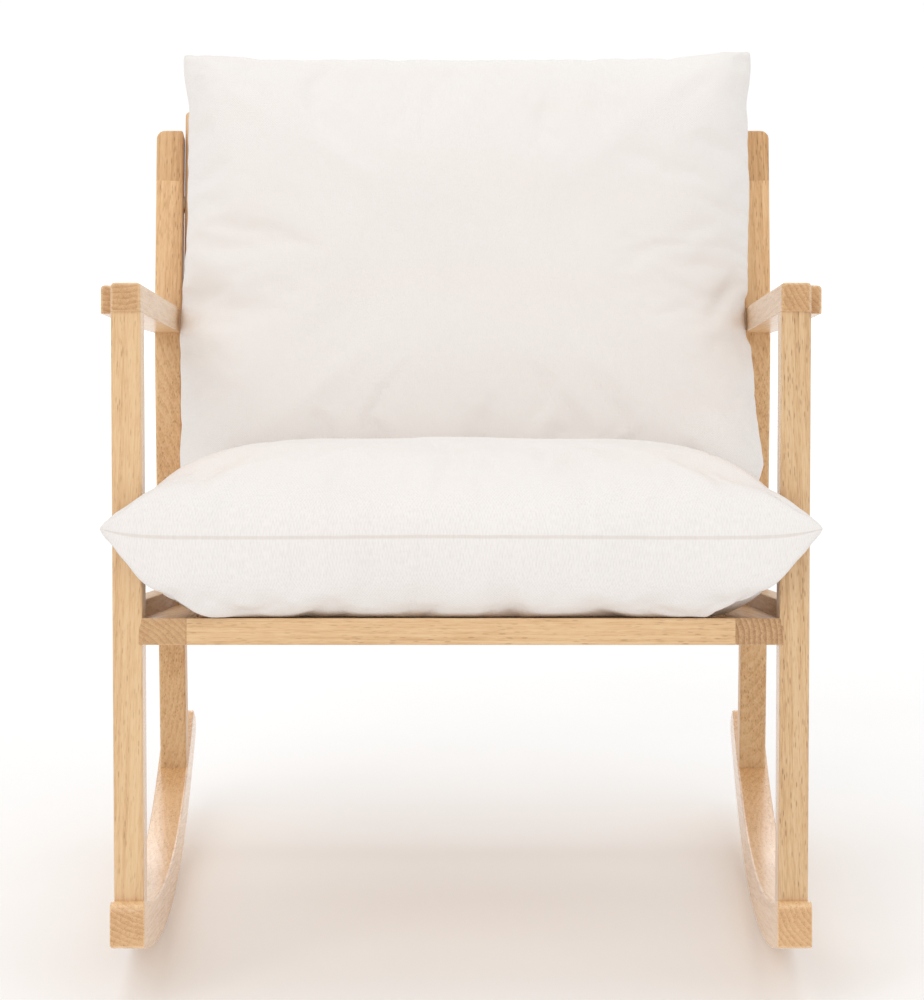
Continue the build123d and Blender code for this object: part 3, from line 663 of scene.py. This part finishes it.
def seat_shape(s, t, panel):
    """The seat cushion: full, resting on the slats, its front corners passing before the legs."""
    s = inward(s, SEAT_HALF[0], 0.055, 0.75)
    t = inward(t, SEAT_HALF[1], 0.055, 0.65)
    depth = (t + 1) / 2
    front = -36 - 14 * np.abs(s) ** 5
    y = front + (534 - front) * depth
    half = 291.5 + 42.5 * (1 - smooth(y, -52, -8)) ** 1.1
    x = s * half
    from_side = (1 - np.abs(s)) * 300
    from_front = depth * 580
    from_rear = (1 - depth) * 580
    seam_z = 396 + 7.5 * np.abs(s) ** 14 * (1 - smooth(depth, 0, 0.25)) + 5 * smooth(depth, 0, 0.4)
    side_full = swell(from_side / 170, 2.4, 0.46)
    front_full = swell(from_front / 190, 2.3, 0.50)
    rear_full = swell(from_rear / 200, 1.6, 0.75)
    top_full = both(both(side_full, front_full), rear_full)
    low_full = both(
        both(swell(from_side / 120, 2.4, 0.42), swell(from_front / 95, 2.2, 0.50)),
        swell(from_rear / 90, 2.2, 0.5),
    )
    from_tip = 334 - np.abs(x)
    rise = wedge(82 * top_full, 1 + 1.02 * from_tip)
    drop = wedge(84 * low_full, 1 + 1.17 * from_tip)
    z = np.where(panel > 0, seam_z + rise, np.where(panel < 0, seam_z - drop, seam_z))
    eased = REST_Z + REST_SOFTNESS * np.exp((z - REST_Z - REST_SOFTNESS) / REST_SOFTNESS)
    z = np.where(z < REST_Z + REST_SOFTNESS, eased, z)
    return to_world(x, y, z)


BACK_HALF = (0.322, 0.262)


def back_shape(s, t, panel):
    """The back cushion: crowned, waisted between the arms, with an ear at each upper corner."""
    s = inward(s, BACK_HALF[0], 0.045, 0.6)
    t = inward(t, BACK_HALF[1], 0.045, 0.6)
    w = (t + 1) / 2
    heights = np.array([111, 136, 173, 216, 268, 300, 343, 386, 440, 526, 590])
    left = np.array([295, 295, 293, 293, 296, 293, 288, 286, 287, 289, 302])
    right = np.array([312, 315, 309, 304, 299, 296, 295, 297, 299, 300, 310])
    ear = 579 - 14 * (1 - np.abs(s + 0.05) ** 3)
    foot = 111 + 6 * (1 - s**2)
    along = foot + (ear - foot) * w
    x = np.where(s < 0, s * np.interp(along, heights, left), s * np.interp(along, heights, right))
    corner = np.abs(s * t) ** 14
    x -= np.sign(s) * 5 * corner
    along = along - np.sign(t) * 4 * corner
    side_full = swell((1 - np.abs(s)) * 300 / 150, 2.2, 0.50)
    end_full = both(swell((1 - w) * 472 / 130, 2.2, 0.55), swell(w * 472 / 120, 2.2, 0.5))
    full = both(side_full, end_full)
    out = -65 - np.where(panel > 0, 62 * full, np.where(panel < 0, -64 * full, 0))
    out = np.minimum(out, -1.5)
    return back_to_world(x, out, along)


def crease(piece, flat, panel, side, folds):
    """Presses soft folds into one panel. Each runs between two points on the flat cloth, and has a
    half width and a depth, negative for a ridge, all in millimetres."""
    co, normals = vertex_array(piece), vertex_normals(piece)
    point = flat * 1000
    for start, end, width, depth in folds:
        start, end = np.array(start, float), np.array(end, float)
        run = end - start
        share = np.clip((point - start) @ run / (run @ run), 0, 1)
        gap = np.linalg.norm(point - start - share[:, None] * run, axis=1)
        taper = np.sin(math.pi * (0.12 + 0.76 * share))
        press = depth * taper * np.exp(-((gap / width) ** 2)) * (panel == side)
        co -= normals * (press / 1000)[:, None]
    set_vertices(piece, co)


def vertex_normals(piece):
    piece.data.update()
    normals = np.zeros(len(piece.data.vertices) * 3, np.float32)
    piece.data.vertices.foreach_get("normal", normals)
    return normals.reshape(-1, 3).astype(float)


def pucker(piece, flat, half, depth, reach=0.013):
    """Gathers the cloth along its seams, where the stitching draws it in, with small ridges that
    run in from the seam and die out."""
    co = vertex_array(piece)
    to_seam = np.minimum(half[0] - np.abs(flat[:, 0]), half[1] - np.abs(flat[:, 1]))
    fades = np.exp(-((to_seam / reach) ** 2))
    wave = np.zeros(len(co))
    for number in np.flatnonzero(fades > 0.02):
        x, y = flat[number]
        wave[number] = noise.noise((x * 62, y * 62, 3.7))
        wave[number] += 0.6 * noise.noise((x * 140, y * 140, 9.1))
    co += vertex_normals(piece) * (wave * fades * depth / 1000)[:, None]
    set_vertices(piece, co)


seat, seat_flat, seat_panel = sewn_panels("seat_cushion", *SEAT_HALF, seat_shape)
inflate(seat, seat_panel, **INFLATING)
back, back_flat, back_panel = sewn_panels("back_cushion", *BACK_HALF, back_shape)
inflate(back, back_panel, **INFLATING)

pucker(seat, seat_flat, SEAT_HALF, 1.3)
pucker(back, back_flat, BACK_HALF, 1.1)

crease(
    seat,
    seat_flat,
    seat_panel,
    1,
    [
        ((50, -165), (22, -285), 11, 3.2),
        ((80, -185), (60, -262), 13, -1.8),
        ((-290, -205), (-205, -232), 9, 2.4),
        ((265, -150), (190, -195), 11, 2.2),
        ((-120, -240), (-60, -285), 12, 1.6),
    ],
)
crease(
    seat,
    seat_flat,
    seat_panel,
    -1,
    [
        ((-316, -303), (-250, -240), 7, 3.6),
        ((-300, -306), (-232, -262), 8, -2.4),
        ((-235, -308), (-190, -255), 9, 2.6),
        ((-80, -312), (-60, -268), 10, 1.8),
        ((40, -312), (66, -262), 11, 2.0),
        ((316, -303), (256, -245), 7, 3.4),
        ((250, -308), (215, -255), 9, 2.6),
        ((150, -312), (160, -275), 10, 1.8),
    ],
)
crease(
    back,
    back_flat,
    back_panel,
    1,
    [
        ((-306, 22), (-215, 12), 7, 3.6),
        ((-300, 2), (-205, -8), 9, -2.2),
        ((-308, -36), (-228, -54), 16, 4.2),
        ((165, 118), (205, 102), 10, 2.6),
        ((205, -22), (262, -46), 9, 3.6),
        ((262, -66), (312, -12), 10, 4.6),
        ((232, -148), (306, -196), 10, 3.4),
        ((-240, -140), (-300, -182), 10, 3.0),
        ((-250, 214), (-205, 172), 10, 2.2),
        ((262, 208), (222, 168), 10, 2.2),
    ],
)

ZIP_HALF = 210.0
ZIP_PITCH = 3.0
TAPE_SECTION = [(-1.6, -2.9), (0.5, -2.9), (0.9, -2.3), (0.9, 2.3), (0.5, 2.9), (-1.6, 2.9)]
TOOTH = [(-0.95, 0.9), (-0.95, 1.7), (-0.45, 2.3), (0.45, 2.3), (0.95, 1.7), (0.95, 0.9)]


def zip_fastener(name, seam, outward, aside):
    """A nylon zip along a seam: its tape, two rows of teeth, a slider and a pull. seam gives the
    seam's point at a place across, in millimetres, outward the way that the zip faces, and aside
    the way across its tape that the pull hangs from."""
    shape = bmesh.new()

    def corner(x, out, side):
        return shape.verts.new(seam(x) + (outward * out + aside * side) / 1000)

    def skin(rings):
        """Closes a run of matching outlines into one solid."""
        for one, other in zip(rings, rings[1:]):
            for i in range(len(one)):
                j = (i + 1) % len(one)
                shape.faces.new((one[i], one[j], other[j], other[i]))
        shape.faces.new(rings[0][::-1])
        shape.faces.new(rings[-1])

    stations = np.linspace(-ZIP_HALF, ZIP_HALF, 71)
    skin([[corner(x, out, side) for out, side in TAPE_SECTION] for x in stations])
    for number in range(int(2 * (ZIP_HALF - 3) / ZIP_PITCH)):
        for row, shift in ((1, 0.0), (-1, 0.5)):
            x = -ZIP_HALF + 3 + (number + shift) * ZIP_PITCH
            sides = (row * -0.35, row * 0.2, row * 1.5, row * 1.85)
            thins = (0.7, 1.0, 1.0, 0.7)
            skin(
                [
                    [corner(x + along * thin, out, side) for along, out in TOOTH]
                    for side, thin in zip(sides, thins)
                ]
            )
    end = ZIP_HALF - 5.5
    plates = (
        # the slider's plates, each from and to: across, outward, aside
        ((end - 4.2, end + 4.2), (1.2, 2.1), (-2.6, 2.6)),
        ((end - 3.6, end + 3.6), (2.6, 3.5), (-2.5, 2.5)),
        ((end - 1.4, end + 1.4), (2.0, 2.8), (-0.9, 0.9)),
        ((end - 2.2, end + 2.2), (4.1, 4.7), (-0.7, 0.7)),
        ((end - 2.2, end - 1.5), (3.3, 4.3), (-0.7, 0.7)),
        ((end + 1.5, end + 2.2), (3.3, 4.3), (-0.7, 0.7)),
    )
    for across, out, side in plates:
        rings = []
        inset = 0.2 * min(side[1] - side[0], out[1] - out[0], across[1] - across[0])
        for x, draw in (
            (across[0], inset),
            (across[0] + inset, 0),
            (across[1] - inset, 0),
            (across[1], inset),
        ):
            low_out, high_out = out[0] + draw, out[1] - draw
            low_side, high_side = side[0] + draw, side[1] - draw
            rings.append(
                [
                    corner(x, low_out, low_side + inset),
                    corner(x, low_out + inset, low_side),
                    corner(x, high_out - inset, low_side),
                    corner(x, high_out, low_side + inset),
                    corner(x, high_out, high_side - inset),
                    corner(x, high_out - inset, high_side),
                    corner(x, low_out + inset, high_side),
                    corner(x, low_out, high_side - inset),
                ]
            )
        skin(rings)
    add_pull(shape, corner, end)
    bmesh.ops.recalc_face_normals(shape, faces=shape.faces)
    data = bpy.data.meshes.new(name)
    shape.to_mesh(data)
    shape.free()
    made = bpy.data.objects.new(name, data)
    scene.collection.objects.link(made)
    return made


def add_pull(shape, corner, x):
    """Adds the pull: a flat tongue with a round eye at its top, hanging from the slider's bail."""
    outline, eye = [], []
    steps = 24
    for i in range(steps):
        angle = 2 * math.pi * i / steps
        wide, tall = math.cos(angle), math.sin(angle)
        half = 2.0 if tall > 0 else 1.7
        outline.append((half * wide, -1.2 + 2.4 * tall if tall > 0 else -1.2 + 13.5 * tall))
        eye.append((0.9 * wide, -1.0 + 1.1 * tall))
    layers = []
    for out in (3.75, 4.05):
        layers.append(
            (
                [corner(x + wide, out, tall) for wide, tall in outline],
                [corner(x + wide, out, tall) for wide, tall in eye],
            )
        )
    (low_rim, low_eye), (high_rim, high_eye) = layers
    for i in range(steps):
        j = (i + 1) % steps
        shape.faces.new((low_rim[i], low_rim[j], low_eye[j], low_eye[i]))
        shape.faces.new((high_rim[i], high_rim[j], high_eye[j], high_eye[i]))
        shape.faces.new((low_rim[i], low_rim[j], high_rim[j], high_rim[i]))
        shape.faces.new((low_eye[i], low_eye[j], high_eye[j], high_eye[i]))


ZIP_NYLON = plain("zip_nylon", (0.80, 0.77, 0.715), 0.42)
seat_zip = zip_fastener("seat_cushion_fastener", lambda x: at(x, 535.4, 401), REAR, UP)
back_zip = zip_fastener(
    "back_cushion_fastener",
    lambda x: at_back(x, -65, 115.4 - 6 * (x / 300) ** 2),
    -BACK_UP,
    -BACK_REAR,
)
for fastener, body in ((seat_zip, "seat_cushion"), (back_zip, "back_cushion")):
    paint(fastener, ZIP_NYLON)
    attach(fastener, body)
    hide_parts(f"{body}_zip")


# ---- what the cushions rest against ------------------------------------------------------------
GAP = 0.0007  # left between a cushion and what it rests against
EDGE = 0.007  # how far past a board's edge the cushion stays flat
EASE = 1.2  # how steeply it eases out from there
REACH = 0.05  # how deep into a cushion another may lie
AROUND = (-0.004, 0, 0.004)  # where its height is felt for round each point
SEAT_TRAVEL, BACK_TRAVEL, ARM_HEIGHT = 0.62, 0.5, 0.2
CHAIR_AXES = np.array([RIGHT, REAR, UP])
BACK_AXES = np.array([RIGHT, BACK_REAR, BACK_UP])


def press_off(piece, name, axes, way, sign, trail):
    """Flattens a cushion against a straight board. way is the axis that the board's near face looks
    along, and sign which way along it. The board counts as stretched by trail, so that nothing
    behind it catches on it as the cushion is taken off. Past its edges the cushion eases out."""
    place = vertex_array(piece) @ axes.T
    board = vertex_array(nodes[name]) @ axes.T
    low = board.min(0) + np.minimum(trail, 0)
    high = board.max(0) + np.maximum(trail, 0)
    face = high[way] if sign > 0 else -low[way]
    past = np.maximum(low - place, place - high)
    past[:, way] = 0
    least = face + GAP - EASE * np.maximum(past.max(1) - EDGE, 0)
    place[:, way] = sign * np.maximum(sign * place[:, way], least)
    set_vertices(piece, place @ axes)


def sink_under(piece, others):
    """Lowers a cushion's skin to just under whatever lies on it."""
    co = vertex_array(piece)
    for other in others:
        skin = vertex_array(other)
        tree = BVHTree.FromPolygons(skin.tolist(), [tuple(f.vertices) for f in other.data.polygons])
        near = np.all((co > skin.min(0) - 0.03) & (co < skin.max(0) + 0.03), axis=1)
        for number in np.flatnonzero(near):
            point = Vector(co[number])
            drop = 0.0
            for x in AROUND:
                for y in AROUND:
                    foot = point + RIGHT * x + REAR * y - UP * REACH
                    hit = tree.ray_cast(foot, UP, REACH + GAP)
                    if hit[0] is not None:
                        drop = max(drop, REACH + GAP - hit[3])
            co[number] -= np.array(UP) * drop
    set_vertices(piece, co)


press_off(seat, "seat_front_rail", CHAIR_AXES, 2, 1, (0, SEAT_TRAVEL, 0))
press_off(back, "back_top_rail", BACK_AXES, 1, -1, (0, 0, -BACK_TRAVEL))
press_off(back, "left_armrest", CHAIR_AXES, 0, 1, (0, 0, -ARM_HEIGHT))
press_off(back, "right_armrest", CHAIR_AXES, 0, -1, (0, 0, 0))
sink_under(seat, (back, back_zip))

for cushion, half, body in (
    (seat, SEAT_HALF, "seat_cushion"),
    (back, BACK_HALF, "back_cushion"),
):
    paint(cushion, linen(f"linen_{body}", *half))
    cushion.data.polygons.foreach_set("use_smooth", [True] * len(cushion.data.polygons))
    smoothing = cushion.modifiers.new("smooth", "SUBSURF")
    smoothing.levels = smoothing.render_levels = 1
    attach(cushion, body)
    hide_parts(f"{body}_cover", f"{body}_pad")
